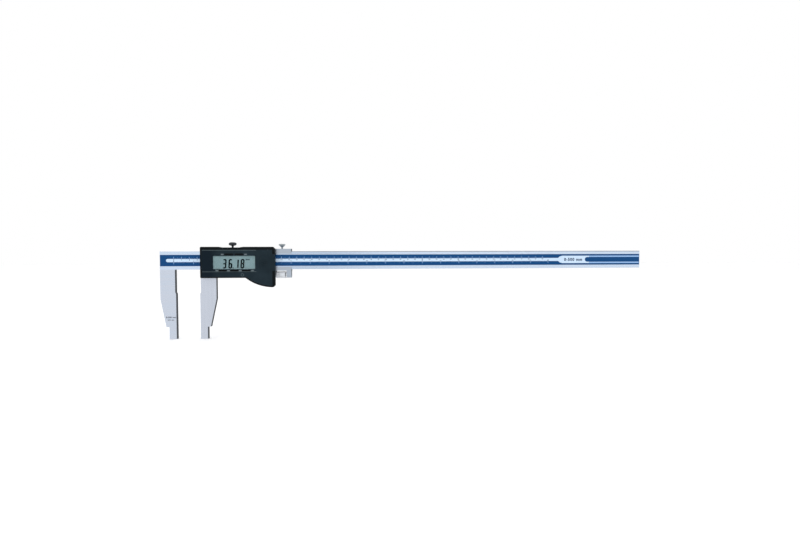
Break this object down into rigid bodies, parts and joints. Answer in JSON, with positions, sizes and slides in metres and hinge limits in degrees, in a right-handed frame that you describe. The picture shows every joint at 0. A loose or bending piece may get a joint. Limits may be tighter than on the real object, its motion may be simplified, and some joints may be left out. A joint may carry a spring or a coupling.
{
  "type": "digital caliper",
  "caption": "Long-jaw digital caliper: steel beam with a printed scale, sliding nib jaw with display head, locking screw and fine-adjustment block.",
  "frame": {"origin": "middle of the fixed jaw's measuring face", "axes": "+X along the beam away from the fixed jaw, +Z from the jaw tips up to the beam, +Y away from the reader, so the display faces -Y"},
  "size_m": [0.66, 0.0212, 0.1274],
  "materials": {
    "beam_steel": "satin ground stainless steel",
    "jaw_steel": "satin ground stainless steel",
    "fine_steel": "satin stainless steel",
    "steel_parts": "machined stainless steel",
    "nut_chrome": "knurled, bright",
    "black_screws": "black oxide, semi-gloss",
    "brass": "machined",
    "board": "glass epoxy board",
    "scale_print": "printed blue and white foil",
    "case_plastic": "moulded, fine texture",
    "panel_plastic": "satin printed sheet",
    "window_lens": "clear acrylic",
    "lcd_glass": "grey-green liquid crystal glass",
    "rubber_strip": "moulded silicone",
    "key_rubber": "moulded silicone, matte",
    "chip_resin": "moulded epoxy",
    "battery_steel": "nickel plated"
  },
  "bodies": {
    "beam": {"beam": "beam_steel", "stator_strip": "board", "scale_label": "scale_print", "end_stop": "steel_parts", "end_stop_screws": "black_screws"},
    "slider": {"slider_frame": "jaw_steel", "gib_strip": "brass", "gib_screws": "black_screws", "lock_bush": "black_screws", "case_back": "case_plastic", "display_case": "case_plastic", "case_screws": "black_screws", "front_panel": "panel_plastic", "display_window": "window_lens", "lcd_panel": "lcd_glass", "connector_strip": "rubber_strip", "display_carrier": "case_plastic", "keypad_sheet": "rubber_strip", "circuit_board": "board", "board_screws": "steel_parts", "controller_chip": "chip_resin", "battery_cell": "battery_steel", "battery_contacts": "brass", "fine_screw": "steel_parts"},
    "lock_pad": {"lock_pad": "brass"},
    "lock_screw": {"lock_screw": "black_screws"},
    "key_upper_left": {"key_upper_left": "key_rubber"},
    "key_upper_right": {"key_upper_right": "key_rubber"},
    "key_lower_left": {"key_lower_left": "key_rubber"},
    "key_lower_middle": {"key_lower_middle": "key_rubber"},
    "key_lower_right": {"key_lower_right": "key_rubber"},
    "battery_cover": {"battery_cover": "panel_plastic"},
    "fine_block": {"fine_block": "fine_steel"},
    "fine_nut": {"fine_nut": "nut_chrome"},
    "fine_clamp_pad": {"fine_clamp_pad": "brass"},
    "fine_clamp_screw": {"fine_clamp_screw": "nut_chrome"}
  },
  "joints": [
    {"name": "slider_travel", "type": "slide", "parent": "beam", "child": "slider", "axis": [1, 0, 0], "range_m": [-0.03098, 0.469]},
    {"name": "lock_pad_travel", "type": "slide", "parent": "slider", "child": "lock_pad", "axis": [0, 0, 1], "range_m": [-0.00025, 0.0005]},
    {"name": "lock_screw_turn", "type": "hinge", "parent": "lock_pad", "child": "lock_screw", "pos_m": [0.073, 0, 0.0935], "axis": [0, 0, 1], "range_deg": [-180, 360]},
    {"name": "fine_block_travel", "type": "slide", "parent": "slider", "child": "fine_block", "axis": [1, 0, 0], "range_m": [-0.002, 0.005]},
    {"name": "fine_nut_turn", "type": "hinge", "parent": "fine_block", "child": "fine_nut", "pos_m": [0.137, 0, 0.0545], "axis": [1, 0, 0], "range_deg": [-1440, 3600]},
    {"name": "fine_clamp_pad_travel", "type": "slide", "parent": "fine_block", "child": "fine_clamp_pad", "axis": [0, 0, 1], "range_m": [-0.00025, 0.0005]},
    {"name": "fine_clamp_screw_turn", "type": "hinge", "parent": "fine_clamp_pad", "child": "fine_clamp_screw", "pos_m": [0.138, 0, 0.0915], "axis": [0, 0, 1], "range_deg": [-180, 360]},
    {"name": "battery_cover_slide", "type": "slide", "parent": "slider", "child": "battery_cover", "axis": [1, 0, 0], "range_m": [0, 0.017]},
    {"name": "key_upper_left_press", "type": "slide", "parent": "slider", "child": "key_upper_left", "axis": [0, 1, 0], "range_m": [0, 0.0004]},
    {"name": "key_upper_right_press", "type": "slide", "parent": "slider", "child": "key_upper_right", "axis": [0, 1, 0], "range_m": [0, 0.0004]},
    {"name": "key_lower_left_press", "type": "slide", "parent": "slider", "child": "key_lower_left", "axis": [0, 1, 0], "range_m": [0, 0.0004]},
    {"name": "key_lower_middle_press", "type": "slide", "parent": "slider", "child": "key_lower_middle", "axis": [0, 1, 0], "range_m": [0, 0.0004]},
    {"name": "key_lower_right_press", "type": "slide", "parent": "slider", "child": "key_lower_right", "axis": [0, 1, 0], "range_m": [0, 0.0004]}
  ],
  "couplings": [
    {"joint": "lock_screw_turn", "follows": "lock_pad_travel", "rad_per_m": 12566},
    {"joint": "fine_nut_turn", "follows": "fine_block_travel", "rad_per_m": 12566},
    {"joint": "fine_clamp_screw_turn", "follows": "fine_clamp_pad_travel", "rad_per_m": 12566}
  ]
}
